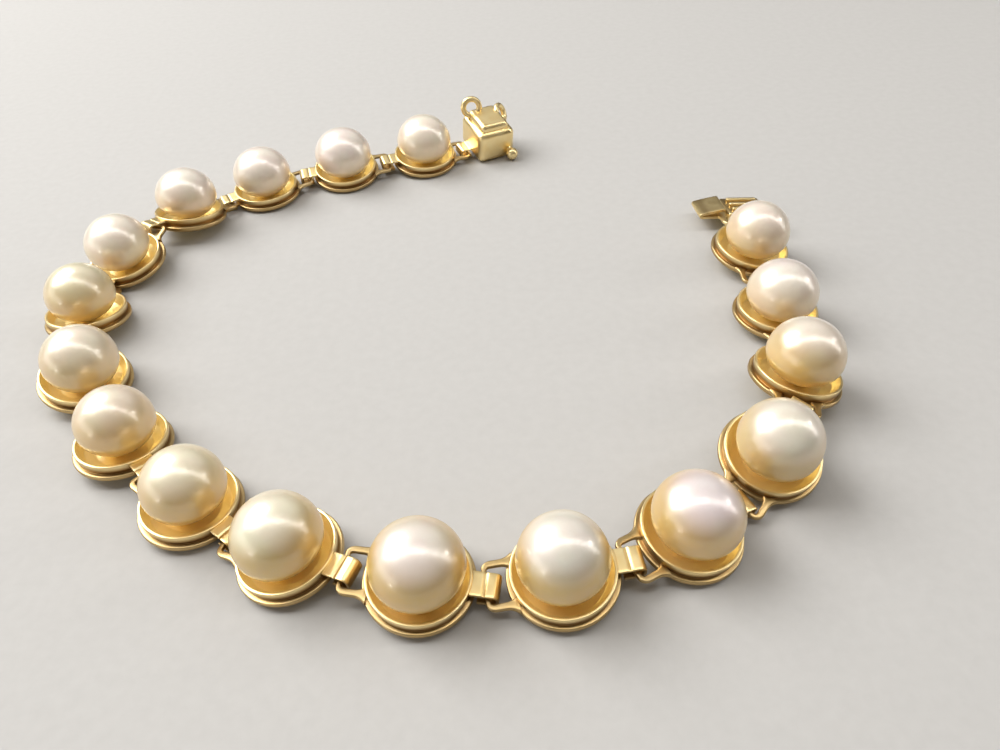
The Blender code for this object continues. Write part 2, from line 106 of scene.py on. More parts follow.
def makeLights():
    # every lamp is a rectangle that faces the middle of the bracelet
    for name, light in lights.items():
        data = bpy.data.lights.new(name, "AREA")
        data.shape = "RECTANGLE"
        data.size = light["width"]
        data.size_y = light["height"]
        data.energy = light["power"]
        data.color = light["colour"]
        lamp = bpy.data.objects.new(name, data)
        lamp.location = light["spot"]
        lamp.rotation_euler = (-Vector(light["spot"])).to_track_quat("-Z", "Y").to_euler()
        bpy.context.scene.collection.objects.link(lamp)


studio = {
    "sky": (  # the soft light all round, from level up to overhead
        (0.0, (0.10, 0.09, 0.085, 1)),
        (0.35, (0.14, 0.13, 0.125, 1)),
        (0.9, (0.46, 0.43, 0.38, 1)),
    ),
    "skyStrength": 0.55,
    "backdrop": (0.68, 0.67, 0.655, 1),  # what shows past the floor; it lights nothing
    "floorSize": 2.0,
    "fadeStart": 0.24,  # how far out the floor begins to give way to the backdrop
    "fadeEnd": 0.60,
}


def makeWorld():
    world = bpy.data.worlds.new("studio")
    bpy.context.scene.world = world
    world.use_nodes = True
    tree = world.node_tree
    tree.nodes.clear()
    where = addNode(tree, "TexCoord")
    split = addNode(tree, "SeparateXYZ")
    tree.links.new(where.outputs["Generated"], split.inputs[0])
    ramp = addNode(tree, "ValToRGB")
    stops = ramp.color_ramp.elements
    for index, (height, colour) in enumerate(studio["sky"]):
        stop = stops[index] if index < 2 else stops.new(height)  # a new ramp has two
        stop.position = height
        stop.color = colour
    tree.links.new(split.outputs["Z"], ramp.inputs["Fac"])
    sky = addNode(tree, "Background", Strength=studio["skyStrength"])
    tree.links.new(ramp.outputs["Color"], sky.inputs["Color"])
    backdrop = addNode(tree, "Background", Color=studio["backdrop"])
    path = addNode(tree, "LightPath")
    mixed = addNode(tree, "MixShader")
    tree.links.new(path.outputs["Is Camera Ray"], mixed.inputs[0])
    tree.links.new(sky.outputs[0], mixed.inputs[1])
    tree.links.new(backdrop.outputs[0], mixed.inputs[2])
    output = addNode(tree, "OutputWorld")
    tree.links.new(mixed.outputs[0], output.inputs["Surface"])


# Materials

goldFinish = {
    "bright": (0.97, 0.79, 0.43, 1),
    "deep": (0.94, 0.73, 0.35, 1),
    # the dark brown of the painted shade in recesses
    "paintedShade": (0.28, 0.15, 0.045, 1),
    "dish": (1.0, 0.83, 0.39, 1),
    "polished": 0.27,
    "satin": 0.33,
    "blotchSatin": 0.08,
    "dishSatin": 0.06,
    "dishMetal": 0.7,  # the dish is paler and less like a mirror than the rim
    "blotchScale": 700,
    "fineScale": 5200,
    "hairStretch": (7000, 420, 5200),
    "hairTurn": (0.2, 0.1, 0.7),
    "hairBump": 0.6,
    "fineBump": 0.4,
    "bumpStrength": 0.05,
    "bumpDepth": 0.000001,
}
pearlFinish = {
    "rose": (1.0, 0.92, 0.93, 1),
    "green": (0.97, 1.0, 0.92, 1),
    "play": 0.5,  # how far the rose and green clouds show
    "cloudScale": 320,
    "growthScale": 1500,
    "growthColour": (0.60, 0.50, 0.42, 1),
    "growthShare": 0.10,
    "roughness": (0.34, 0.43),
    "bumpStrength": 0.25,
    "bumpDepth": 0.00001,
}
pearlSockets = {
    "Metallic": 0.2,
    "Subsurface Weight": 0.12,
    "Subsurface Radius": (1.0, 0.75, 0.6),
    "Subsurface Scale": 0.0012,
    "Specular IOR Level": 0.6,
    "IOR": 1.6,
    "Coat Weight": 1.0,
    "Coat Roughness": 0.22,
    "Coat IOR": 1.8,
    "Sheen Weight": 0.05,
    "Sheen Roughness": 0.4,
    "Sheen Tint": (1.0, 0.86, 0.88, 1),
}
floorFinish = {
    "shade": (0.465, 0.459, 0.45, 1),
    "light": (0.485, 0.479, 0.47, 1),
    "grainScale": 900,
    "roughness": 0.75,
    "specular": 0.2,
}


def newMaterial(name):
    material = bpy.data.materials.new(name)
    material.use_nodes = True
    return material, material.node_tree, material.node_tree.nodes["Principled BSDF"]


def addNode(tree, kind, **settings):
    made = tree.nodes.new("ShaderNode" + kind)
    for name, value in settings.items():
        if name in made.inputs:
            made.inputs[name].default_value = value
        else:
            setattr(made, name, value)
    return made


def noiseOn(tree, coordinates, scale, detail=2.0, roughness=0.5):
    grain = addNode(tree, "TexNoise", Scale=scale, Detail=detail, Roughness=roughness)
    tree.links.new(coordinates, grain.inputs["Vector"])
    return grain.outputs["Fac"]


def spread(tree, value, low, high, start=0.0, end=1.0):
    # a map range that turns a texture's value into a useful one
    made = addNode(tree, "MapRange")
    made.inputs["From Min"].default_value = low
    made.inputs["From Max"].default_value = high
    made.inputs["To Min"].default_value = start
    made.inputs["To Max"].default_value = end
    tree.links.new(value, made.inputs["Value"])
    return made.outputs["Result"]


def mixColour(tree, factor, first, second, blend="MIX"):
    made = addNode(tree, "Mix", data_type="RGBA", blend_type=blend)
    for socket, value in ((made.inputs[6], first), (made.inputs[7], second)):
        if isinstance(value, tuple):
            socket.default_value = value
        else:
            tree.links.new(value, socket)
    if isinstance(factor, float):
        made.inputs[0].default_value = factor
    else:
        tree.links.new(factor, made.inputs[0])
    return made.outputs[2]


def addBump(tree, shader, height, finish):
    bump = addNode(tree, "Bump", Strength=finish["bumpStrength"], Distance=finish["bumpDepth"])
    tree.links.new(height, bump.inputs["Height"])
    tree.links.new(bump.outputs["Normal"], shader.inputs["Normal"])


def makeGold():
    f = goldFinish
    material, tree, shader = newMaterial("worn yellow gold with painted shade")
    where = addNode(tree, "TexCoord").outputs["Object"]
    blotches = noiseOn(tree, where, f["blotchScale"], 3.0)
    fine = noiseOn(tree, where, f["fineScale"], 3.0, 0.6)
    stretched = addNode(tree, "Mapping", Scale=f["hairStretch"], Rotation=f["hairTurn"])
    tree.links.new(where, stretched.inputs["Vector"])
    hairlines = noiseOn(tree, stretched.outputs["Vector"], 1.0, 2.0, 0.65)
    # painted shade: an attribute darkens each piece towards a dark brown where shade falls
    shadeAmount = addNode(tree, "Attribute", attribute_name="shadeAmount").outputs["Fac"]
    hollow = addNode(tree, "Attribute", attribute_name="dish").outputs["Fac"]
    colour = mixColour(tree, spread(tree, blotches, 0.35, 0.65), f["deep"], f["bright"])
    colour = mixColour(tree, hollow, colour, f["dish"])
    colour = mixColour(tree, shadeAmount, colour, f["paintedShade"])
    tree.links.new(colour, shader.inputs["Base Color"])
    satin = addNode(tree, "Math", operation="ADD", use_clamp=True)
    tree.links.new(spread(tree, blotches, 0.3, 0.7, 0.0, f["blotchSatin"]), satin.inputs[0])
    tree.links.new(spread(tree, hairlines, 0.35, 0.7, f["polished"], f["satin"]), satin.inputs[1])
    dished = addNode(tree, "Math", operation="MULTIPLY_ADD", use_clamp=True)
    tree.links.new(hollow, dished.inputs[0])
    dished.inputs[1].default_value = f["dishSatin"]
    tree.links.new(satin.outputs[0], dished.inputs[2])
    tree.links.new(dished.outputs[0], shader.inputs["Roughness"])
    tree.links.new(spread(tree, hollow, 0.0, 1.0, 1.0, f["dishMetal"]), shader.inputs["Metallic"])
    height = addNode(tree, "Math", operation="ADD")
    tree.links.new(spread(tree, hairlines, 0.3, 0.7, 0.0, f["hairBump"]), height.inputs[0])
    tree.links.new(spread(tree, fine, 0.3, 0.7, 0.0, f["fineBump"]), height.inputs[1])
    addBump(tree, shader, height.outputs[0], f)
    return material


def makeNacre():
    f = pearlFinish
    material, tree, shader = newMaterial("pearl nacre")
    where = addNode(tree, "TexCoord").outputs["Object"]
    clouds = noiseOn(tree, where, f["cloudScale"], 2.0)
    growth = noiseOn(tree, where, f["growthScale"], 4.0, 0.6)
    # the overtone with the painted dark reflection and the painted gold reflection, from each pearl's
    # attribute
    body = addNode(tree, "Attribute", attribute_name="overtoneAndReflections").outputs["Color"]
    tints = mixColour(tree, spread(tree, clouds, 0.38, 0.62), f["rose"], f["green"])
    clouded = mixColour(tree, f["play"], body, tints, "MULTIPLY")
    marks = spread(tree, growth, 0.35, 0.65, 0.0, f["growthShare"])
    tree.links.new(mixColour(tree, marks, clouded, f["growthColour"]), shader.inputs["Base Color"])
    tree.links.new(spread(tree, growth, 0.3, 0.7, *f["roughness"]), shader.inputs["Roughness"])
    for socket, value in pearlSockets.items():
        shader.inputs[socket].default_value = value
    addBump(tree, shader, growth, f)
    return material


def makeFloorFinish():
    f = floorFinish
    material, tree, shader = newMaterial("pale studio floor")
    where = addNode(tree, "TexCoord").outputs["Object"]
    paper = noiseOn(tree, where, f["grainScale"], 3.0)
    colour = mixColour(tree, spread(tree, paper, 0.3, 0.7), f["shade"], f["light"])
    tree.links.new(colour, shader.inputs["Base Color"])
    shader.inputs["Roughness"].default_value = f["roughness"]
    shader.inputs["Specular IOR Level"].default_value = f["specular"]
    away = addNode(tree, "VectorMath", operation="LENGTH")
    tree.links.new(where, away.inputs[0])
    gone = spread(tree, away.outputs["Value"], studio["fadeStart"], studio["fadeEnd"])
    clear = addNode(tree, "BsdfTransparent")
    mixed = addNode(tree, "MixShader")
    tree.links.new(gone, mixed.inputs[0])
    tree.links.new(shader.outputs[0], mixed.inputs[1])
    tree.links.new(clear.outputs[0], mixed.inputs[2])
    tree.links.new(mixed.outputs[0], tree.nodes["Material Output"].inputs["Surface"])
    return material


gold = makeGold()
nacre = makeNacre()
print("materials made")


# Shapes that several pieces use

def roundedProfile(rows, steps=4):
    # rows of (across, height, corner radius); a corner becomes an arc
    points = []
    for index, (across, height, radius) in enumerate(rows):
        corner = Vector((across, height))
        if radius == 0:
            points.append(corner)
            continue
        before = (Vector(rows[index - 1][:2]) - corner).normalized()
        after = (Vector(rows[(index + 1) % len(rows)][:2]) - corner).normalized()
        half = before.angle(after) / 2
        back = radius / math.tan(half)
        centre = corner + (before + after).normalized() * radius / math.sin(half)
        first = corner + before * back - centre
        last = corner + after * back - centre
        for step in range(steps + 1):
            points.append(centre + first.slerp(last, step / steps) * radius)
    return points


def lathe(bm, profile, sides):
    # spins a profile about the upright axis and closes its poles
    verts = [bm.verts.new((point.x, 0, point.y)) for point in profile]
    edges = [bm.edges.new(pair) for pair in zip(verts, verts[1:])]
    bmesh.ops.spin(
        bm, geom=verts + edges, cent=(0, 0, 0), axis=(0, 0, 1), angle=2 * math.pi, steps=sides,
        use_merge=True,
    )
    bmesh.ops.remove_doubles(bm, verts=bm.verts, dist=0.0005)


def sweep(bm, section, stations):
    # draws the section at the first station and extrudes it from each station to the next
    ring = [bm.verts.new(stations[0] @ Vector((point.x, point.y, 0))) for point in section]
    edges = list(bm.faces.new(ring).edges)
    for before, after in zip(stations, stations[1:]):
        grown = bmesh.ops.extrude_edge_only(bm, edges=edges)["geom"]
        moved = {item for item in grown if isinstance(item, bmesh.types.BMVert)}
        edges = [
            item for item in grown
            if isinstance(item, bmesh.types.BMEdge) and set(item.verts) <= moved
        ]
        bmesh.ops.transform(bm, matrix=after @ before.inverted(), verts=list(moved))
    bmesh.ops.contextual_create(bm, geom=edges)


def station(place, along, upright, width, height):
    # a section's place: its first side across the path, its second side along upright
    along = Vector(along).normalized()
    upright = Vector(upright).normalized()
    across = upright.cross(along).normalized()
    turn = Matrix((across * width, upright * height, along)).transposed().to_4x4()
    return Matrix.Translation(Vector(place)) @ turn


def unitSection(corner, steps=3):
    # a square one wide with rounded corners
    half = 0.5
    rows = [(half, -half, corner), (half, half, corner), (-half, half, corner), (-half, -half, corner)]
    return roundedProfile(rows, steps)


def wireRing(bm, centre, axis, radius, wire, sides=48, wireSides=14):
    made = bmesh.ops.create_circle(bm, cap_ends=False, radius=wire, segments=wireSides)
    verts = made["verts"]
    edges = list({edge for vert in verts for edge in vert.link_edges})
    bmesh.ops.rotate(bm, cent=(0, 0, 0), matrix=Matrix.Rotation(math.radians(90), 3, "X"), verts=verts)
    bmesh.ops.translate(bm, vec=(radius, 0, 0), verts=verts)
    bmesh.ops.spin(
        bm, geom=verts + edges, cent=(0, 0, 0), axis=(0, 0, 1), angle=2 * math.pi, steps=sides,
        use_merge=True,
    )
    turn = Vector(axis).to_track_quat("Z", "Y").to_matrix().to_4x4()
    bmesh.ops.transform(bm, matrix=Matrix.Translation(Vector(centre)) @ turn, verts=bm.verts)


def roundedBlock(bm, low, high, rounding, segments):
    low = Vector(low)
    high = Vector(high)
    made = bmesh.ops.create_cube(bm, size=1.0)
    size = high - low
    bmesh.ops.scale(bm, vec=size, verts=made["verts"])
    bmesh.ops.translate(bm, vec=(low + high) / 2, verts=made["verts"])
    bmesh.ops.bevel(
        bm, geom=list(bm.edges), offset=rounding, offset_type="OFFSET", affect="EDGES",
        segments=segments, profile=0.5, material=-1, clamp_overlap=True,
    )


def solid(draw):
    # one closed mesh from a drawing function, its faces turned outwards
    bm = bmesh.new()
    draw(bm)
    bmesh.ops.recalc_face_normals(bm, faces=bm.faces)
    mesh = bpy.data.meshes.new("solid")
    bm.to_mesh(mesh)
    bm.free()
    return mesh


def joined(meshes, operations=None):
    # soldered pieces become one body by Booleans
    helpers = [bpy.data.objects.new("helper", mesh) for mesh in meshes]
    for helper in helpers:
        bpy.context.scene.collection.objects.link(helper)
    for index, helper in enumerate(helpers[1:]):
        boolean = helpers[0].modifiers.new("join", "BOOLEAN")
        boolean.object = helper
        boolean.operation = operations[index] if operations else "UNION"
        boolean.solver = "EXACT"
    graph = bpy.context.evaluated_depsgraph_get()
    mesh = bpy.data.meshes.new_from_object(helpers[0].evaluated_get(graph))
    for helper in helpers:
        bpy.data.objects.remove(helper)
    return mesh


def addPiece(name, mesh, place, material, sharp=40):
    # the finished piece keeps its object at the origin, with its place in its mesh
    mesh.materials.clear()
    mesh.materials.append(material)
    mesh.transform(place)
    mesh.shade_smooth()
    mesh.set_sharp_from_angle(angle=math.radians(sharp))
    piece = bpy.data.objects.new(name + "_finish", mesh)
    bpy.context.scene.collection.objects.link(piece)
    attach(piece, "root")
    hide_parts(name)


def paint(mesh, name, amountAt):
    # how much of a tone each point has, such as the painted shade in a recess
    layer = mesh.attributes.new(name, "FLOAT", "POINT")
    for index, vert in enumerate(mesh.vertices):
        layer.data[index].value = amountAt(vert.co)


def fade(value, start, end):
    # 0 at start, 1 at end, smooth between them
    share = max(0.0, min(1.0, (value - start) / (end - start)))
    return share * share * (3 - 2 * share)


# Where each link lies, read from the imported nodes

foldZone = {
    "lowBelow": 0.1,  # past the cup, only the fold has points so low or so high
    "highAbove": 1.2,
    "beyond": 5.0,
}


def nodePoints(name):
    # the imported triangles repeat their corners, so each corner is taken once
    found = {tuple(round(c / mm, 4) for c in vert.co) for vert in nodes[name].data.vertices}
    return np.array(sorted(found))


def asPlace(along, across, up, origin):
    columns = [list(along) + [0], list(across) + [0], list(up) + [0], list(origin) + [1]]
    return Matrix(columns).transposed()


def linkPlace(number):
    # the pearl gives the cup's axis, the link its underside and the side of its fold
    pearlPoints = nodePoints("pearl_" + number)
    linkPoints = nodePoints("link_" + number)
    middle = pearlPoints.mean(0)
    values, directions = np.linalg.eigh(np.cov((pearlPoints - middle).T))
    odd = 0 if values[1] - values[0] > values[2] - values[1] else 2  # the one unlike the other two
    up = directions[:, odd]
    if up @ (middle - linkPoints.mean(0)) < 0:
        up = -up
    origin = middle + up * ((linkPoints - middle) @ up).min()
    level = (linkPoints - origin) @ up
    sideways = linkPoints - origin - np.outer(level, up)
    lowOrHigh = (level < foldZone["lowBelow"]) | (level > foldZone["highAbove"])
    foldPoints = (np.linalg.norm(sideways, axis=1) > foldZone["beyond"]) & lowOrHigh
    along = sideways[foldPoints].mean(0)
    along = Vector(along - up * (along @ up)).normalized()
    up = Vector(up)
    return asPlace(along, up.cross(along), up, origin)


def placeBetween(start, end, lean, drop):
    # a place whose first axis runs from start to end, leaning to its left
    along = (end - start).normalized()
    across = Vector((-along.y, along.x, 0)).normalized()
    upright = along.cross(across)
    angle = math.radians(lean)
    up = upright * math.cos(angle) + across * math.sin(angle)
    return asPlace(along, up.cross(along), up, start - up * drop)


places = {number: linkPlace(number) for number in linkNumbers}
toMetres = Matrix.Scale(mm, 4)
print("places read")


# The links: a turned cup with its loop and its folded strip

cup = {
    "pegRadius": 0.35, "pegTop": 2.18, "floor": 0.28, "dishRun": 2.55, "dishTurn": 3.50,
    "dishTurnHeight": 0.715, "dishEdge": 4.01, "rim": 4.25, "rimTop": 1.64, "bandLow": 1.05,
    "neck": 4.10, "flange": 4.55, "flangeTop": 0.70, "flangeLow": 0.30, "base": 4.20, "sides": 112,
}
loop = {
    "foot": -3.80, "flareEnd": -4.95, "flareWidth": 1.55, "flarePower": 2.4, "flareLift": 0.10,
    "armWidth": 0.60, "armMiddle": 1.85, "armEnd": -5.30,
    "cornerX": -5.60, "cornerY": 1.40, "barX": -6.14, "barWidth": 0.42, "barStops": (1.1, 0.5),
    "low": 0.53, "high": 0.93, "rounding": 0.26, "steps": 8,
}
fold = {
    "root": 4.06, "top": 1.46, "thickness": 0.26, "width": 2.10, "rounding": 0.12,
    "groove": 0.09, "grooveX": 5.20, "grooveWidth": 0.13, "topSteps": 22,
    "turnX": 5.92, "turnRadius": 0.43, "turnSteps": 8,
    "barX": 5.31,  # where the next link's crossbar lies in it
    "returnStart": 5.30, "returnX": 4.70, "tipLength": 0.05, "tipNarrower": 0.12, "tipThinner": 0.6,
}
barHeight = (loop["low"] + loop["high"]) / 2  # of each crossbar, above its link's underside


def drawCup(bm):
    c = cup
    rows = [  # across, height, corner radius
        (0, c["pegTop"], 0),
        (c["pegRadius"], c["pegTop"], 0.10),
        (c["pegRadius"], c["floor"], 0.12),
        (c["dishRun"], c["floor"], 0.50),
        (c["dishTurn"], c["dishTurnHeight"], 0.35),
        (c["dishEdge"], c["rimTop"], 0.08),
        (c["rim"], c["rimTop"], 0.09),
        (c["rim"], c["bandLow"], 0.12),
        (c["neck"], c["flangeTop"], 0.07),
        (c["flange"], c["flangeTop"], 0.12),
        (c["flange"], c["flangeLow"], 0.10),
        (c["base"], 0, 0.12),
        (0, 0, 0),
    ]
    lathe(bm, roundedProfile(rows), c["sides"])


def drawLoop(bm):
    # one arm and half of the bar, then the same stations mirrored back
    p = loop
    height = p["high"] - p["low"]
    upright = (0, 0, 1)
    outward = (-1, 0, 0)
    steps = p["steps"]
    half = []
    for step in range(steps + 1):  # the arm flares into the flange
        share = step / steps
        x = p["foot"] + (p["flareEnd"] - p["foot"]) * share
        flare = p["armWidth"] + (p["flareWidth"] - p["armWidth"]) * (1 - share) ** p["flarePower"]
        lift = p["flareLift"] * (1 - share) ** 2
        spot = (x, p["armMiddle"], barHeight - lift / 2)
        half.append(station(spot, outward, upright, flare, height + lift))
    spot = (p["armEnd"], p["armMiddle"], barHeight)
    half.append(station(spot, outward, upright, p["armWidth"], height))
    runX = p["cornerX"] - p["barX"]
    runY = p["armMiddle"] - p["cornerY"]
    for step in range(steps + 1):  # the corner, where the arm narrows to the bar
        share = step / steps
        angle = math.radians(90 * share)
        x = p["cornerX"] - runX * math.sin(angle)
        y = p["cornerY"] + runY * math.cos(angle)
        along = (-runX * math.cos(angle), -runY * math.sin(angle), 0)
        width = p["armWidth"] + (p["barWidth"] - p["armWidth"]) * share
        half.append(station((x, y, barHeight), along, upright, width, height))
    for y in p["barStops"]:
        spot = (p["barX"], y, barHeight)
        half.append(station(spot, (0, -1, 0), upright, p["barWidth"], height))
    swap = Matrix.Scale(-1, 4, (0, 1, 0))
    flip = Matrix.Scale(-1, 4, (0, 0, 1))
    other = [swap @ made @ flip for made in reversed(half)]
    sweep(bm, unitSection(p["rounding"]), half + other)


def drawFold(bm, root=fold["root"]):
    p = fold
    thickness = p["thickness"]
    stations = []
    for step in range(p["topSteps"] + 1):  # the top strip: two soft ridges with a groove between them
        x = root + (p["turnX"] - root) * step / p["topSteps"]
        groove = p["groove"] * math.exp(-(((x - p["grooveX"]) / p["grooveWidth"]) ** 2))
        thin = thickness - groove
        spot = (x, 0, p["top"] - thickness + thin / 2)
        stations.append(station(spot, (1, 0, 0), (0, 0, 1), p["width"], thin))
    radius = p["turnRadius"]
    steps = p["turnSteps"]
    upperCentre = p["top"] - thickness / 2 - radius
    lowerCentre = thickness / 2 + radius
    arcs = ((upperCentre, range(1, steps + 1)), (lowerCentre, range(steps, 2 * steps + 1)))
    for centre, arc in arcs:  # round the crossbar, in two quarter turns
        for step in arc:
            angle = math.radians(90 * step / steps)
            upright = Vector((math.sin(angle), 0, math.cos(angle)))
            along = (math.cos(angle), 0, -math.sin(angle))
            spot = Vector((p["turnX"], 0, centre)) + upright * radius
            stations.append(station(spot, along, upright, p["width"], thickness))
    back = (-1, 0, 0)
    down = (0, 0, -1)
    for x in (p["returnStart"], p["returnX"] + p["tipLength"]):
        stations.append(station((x, 0, thickness / 2), back, down, p["width"], thickness))
    tip = (p["returnX"], 0, thickness / 2)
    tipWidth = p["width"] - p["tipNarrower"]
    stations.append(station(tip, back, down, tipWidth, thickness * p["tipThinner"]))
    sweep(bm, unitSection(p["rounding"]), stations)


paintedShade = {  # how dark the painted shade is at each place, and between which radii and heights it fades
    "neck": 0.95, "neckInner": (4.02, 4.08), "neckOuter": (4.26, 4.36),
    "neckLow": (0.62, 0.72), "neckHigh": (1.25, 1.58),
    "side": 0.75, "sideInner": (4.48, 4.54), "sideHigh": (0.50, 0.66), "sideReach": 4.6,
    "crease": 0.4, "creaseFrom": 4.2, "creaseHalf": 1.2, "creaseWidth": 0.12, "creaseLow": (1.2, 1.4),
    "wall": 0.55, "wallInner": (4.18, 4.24), "wallHigh": (0.9, 1.5),
    "dishEdge": (3.98, 4.10),
}


def linkPaintedShade(point):
    # painted shade under the rim, on the flange's side, in the fold's groove and low on the wall
    t = paintedShade
    radius = math.hypot(point.x, point.y)
    neck = fade(radius, *t["neckInner"]) * (1 - fade(radius, *t["neckOuter"]))
    neck *= fade(point.z, *t["neckLow"]) * (1 - fade(point.z, *t["neckHigh"]))
    side = fade(radius, *t["sideInner"]) * (1 - fade(point.z, *t["sideHigh"]))
    side *= float(abs(point.x) < t["sideReach"])
    crease = 0.0
    if point.x > t["creaseFrom"] and abs(point.y) < t["creaseHalf"]:
        crease = math.exp(-(((point.x - fold["grooveX"]) / t["creaseWidth"]) ** 2))
        crease *= fade(point.z, *t["creaseLow"])
    wall = fade(radius, *t["wallInner"]) * (1 - fade(point.z, *t["wallHigh"]))
    return max(t["neck"] * neck, t["side"] * side, t["crease"] * crease, t["wall"] * wall)


def linkDish(point):
    return 1 - fade(math.hypot(point.x, point.y), *paintedShade["dishEdge"])


linkMesh = joined([solid(drawCup), solid(drawLoop), solid(drawFold)])
paint(linkMesh, "shadeAmount", linkPaintedShade)
paint(linkMesh, "dish", linkDish)
for number in linkNumbers:
    addPiece("link_" + number, linkMesh.copy(), toMetres @ places[number], gold)
print("links made,", len(linkMesh.polygons), "faces each")


# The pearls

pearl = {
    "middle": 3.40, "underside": 2.90, "hole": 0.60, "holeTop": 2.43, "sides": 72, "rings": 20,
    "waviness": 0.022,
    "waveScale": 1.3,
    "seed": (7.3, 1.7, 4.1),
    "depth": 1.05,
    # painted dark reflection of the surroundings, below the overtone
    "paintedDarkReflection": (0.63, 0.43, 0.13),
    "darkReflectionShare": 0.9,
    "darkReflectionFade": (4.7, 6.7),  # the heights between which the painted dark reflection gives way to the overtone
    # painted reflection of the gold cup, lowest on each pearl
    "paintedGoldReflection": (0.86, 0.57, 0.15),
    "goldReflectionShare": (0.36, 0.54),  # the painted gold reflection on every pearl, and more with its reflection depth
    "goldReflectionFade": (2.7, 5.5),
}
reflectionDepths = {  # how deep each pearl's painted dark reflection runs towards its cup; it also adds to the painted gold reflection
    "01": 0.2, "02": 0.1, "03": 0.15, "04": 0.2, "05": 0.3, "06": 0.5,
    "07": 0.6, "08": 0.7, "09": 0.85, "10": 1.0, "11": 1.1, "12": 1.1,
    "13": 1.0, "14": 0.85, "15": 0.7, "16": 0.3, "17": 0.4,
}
overtones = {
    "01": (0.87, 0.79, 0.68), "02": (0.86, 0.78, 0.72), "03": (0.87, 0.79, 0.72),
    "04": (0.87, 0.80, 0.73), "05": (0.87, 0.80, 0.70), "06": (0.77, 0.72, 0.52),
    "07": (0.81, 0.73, 0.59), "08": (0.81, 0.72, 0.58), "09": (0.79, 0.73, 0.56),
    "10": (0.77, 0.73, 0.57), "11": (0.77, 0.71, 0.65), "12": (0.77, 0.73, 0.66),
    "13": (0.76, 0.69, 0.70), "14": (0.77, 0.72, 0.62), "15": (0.78, 0.72, 0.61),
    "16": (0.81, 0.74, 0.68), "17": (0.81, 0.73, 0.63),
}


def drawPearl(bm, width, crown):
    p = pearl
    rings = p["rings"]
    profile = []
    for step in range(rings + 1):
        angle = math.radians(90 * step / rings)
        profile.append(Vector((width * math.sin(angle), p["middle"] + crown * math.cos(angle))))
    lowest = math.acos(p["hole"] / width)
    for step in range(1, rings + 1):
        angle = lowest * step / rings
        profile.append(Vector((width * math.cos(angle), p["middle"] - p["underside"] * math.sin(angle))))
    profile.append(Vector((p["hole"], p["holeTop"])))
    profile.append(Vector((0, p["holeTop"])))
    lathe(bm, profile, p["sides"])


def makeUneven(mesh, number):
    # no real pearl is quite even, but the drilled hole is
    p = pearl
    first, second, third = p["seed"]
    seed = Vector((first * int(number), second, third))
    hole = p["hole"] + 0.01
    for vert in mesh.vertices:
        if math.hypot(vert.co.x, vert.co.y) > hole or vert.co.z > p["middle"]:
            outward = (vert.co - Vector((0, 0, p["middle"]))).normalized()
            vert.co -= outward * p["waviness"] * (1 + noise.noise(outward * p["waveScale"] + seed))


def paintPearl(mesh, number):
    # the overtone at the top, a painted dark reflection below it, and a painted reflection of the gold
    # cup lowest
    p = pearl
    layer = mesh.attributes.new("overtoneAndReflections", "FLOAT_COLOR", "POINT")
    top = Vector(overtones[number]) * p["depth"]
    reflectionDepth = reflectionDepths[number]
    always, more = p["goldReflectionShare"]
    for index, vert in enumerate(mesh.vertices):
        height = vert.co.z
        darkReflected = p["darkReflectionShare"] * reflectionDepth * (1 - fade(height, *p["darkReflectionFade"]))
        goldReflected = (always + more * reflectionDepth) * (1 - fade(height, *p["goldReflectionFade"]))
        shade = top.lerp(Vector(p["paintedDarkReflection"]), darkReflected).lerp(Vector(p["paintedGoldReflection"]), min(1.0, goldReflected))
        layer.data[index].color = (*shade, 1)


def makePearl(number):
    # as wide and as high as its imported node
    place = places[number]
    local = [place.inverted() @ Vector(point) for point in nodePoints("pearl_" + number)]
    width = max(math.hypot(point.x, point.y) for point in local)
    crown = max(point.z for point in local) - pearl["middle"]
    mesh = solid(lambda bm: drawPearl(bm, width, crown))
    makeUneven(mesh, number)
    paintPearl(mesh, number)
    addPiece("pearl_" + number, mesh, toMetres @ place, nacre, sharp=60)


for number in linkNumbers:
    makePearl(number)
print("pearls made")


# The clasp: a box with its slot, and the tongue with its spring

box = {
    "length": 5.6, "width": 6.6, "height": 4.6, "rounding": 0.9, "heading": 204, "lean": 9,
    "slotHalf": 2.45, "slotLow": 1.3, "slotHigh": 3.3, "slotDepth": 4.3, "slotRounding": 0.12,
    "slotDark": 0.7, "slotFade": (0.1, 1.2),
    "crownHeight": 0.9, "crownMargin": 0.7, "crownRounding": 0.75, "stripRoot": 4.2,
    "ring": 1.15, "wire": 0.4, "lugAxis": (0.2, 1, 0.35), "lugLift": 0.4,
    "catchAxis": (-0.7, 0.6, 0.5), "catchInset": 0.3,
    "ball": 0.85, "ballHeight": 1.15, "ballSides": 40, "ballRings": 24,
    "stem": 0.4, "stemRoot": 0.42, "stemHeight": 1.55, "stemFoot": 1.25, "stemTip": 0.9, "stemSides": 24,
}
tongue = {
    "start": 1.59, "width": 4.8, "right": -3.925, "left": 1.075, "low": 0.13, "high": 1.33,
    "rounding": 0.24, "turn": 4, "dip": 7, "lean": -3,
    "ridgeWidth": 0.6, "ridgeHeight": 0.4, "ridges": 3, "ridgeRounding": 0.18,
    "ridgeDark": 0.6, "darkInset": 0.2, "darkLow": (1.2, 1.3), "darkHigh": (1.23, 1.53),
    "leaf": 0.35, "leafRounding": 0.10, "spring": 3.6, "springWidth": 4.2, "springRoot": 0.4,
    "rise": 1.3, "riseCurve": 0.9, "slope": 0.25, "endShare": 0.18, "endFlat": 0.2,
    "lowSteps": 5, "bendSteps": 8, "highSteps": 8,
    "eye": 0.7, "eyeWire": 0.3, "eyeGap": 2.3, "eyeInset": 0.6, "eyeLift": 0.4,
    "eyeAxes": ((0.2, 0.25, 1), (0.2, -0.25, 1)),
}


